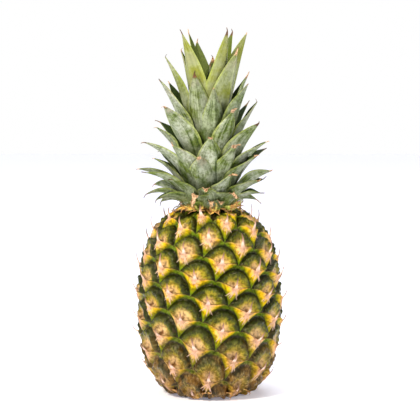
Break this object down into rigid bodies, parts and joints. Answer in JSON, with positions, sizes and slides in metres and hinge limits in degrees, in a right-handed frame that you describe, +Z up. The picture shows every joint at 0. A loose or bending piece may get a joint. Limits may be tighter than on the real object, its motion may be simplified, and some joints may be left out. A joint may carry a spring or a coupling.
{
  "type": "pineapple",
  "caption": "Whole pineapple standing on its base: barrel-shaped fruit with spiral rows of spined eyes, dry bracts at the neck and a tall crown of pointed leaves.",
  "frame": {"origin": "middle of the cut stalk's face in the base, on the fruit's axis, at the level it stands on", "axes": "+Z up along the fruit's axis towards the crown, -Y towards the viewer of the picture, +X to the viewer's right"},
  "size_m": [0.1396, 0.1366, 0.319],
  "materials": {
    "rind": "satin",
    "dry_bract": "matte",
    "leaf": "satin"
  },
  "bodies": {
    "root": {"fruit": "rind", "neck_bracts": "dry_bract", "crown": "leaf"}
  },
  "joints": []
}
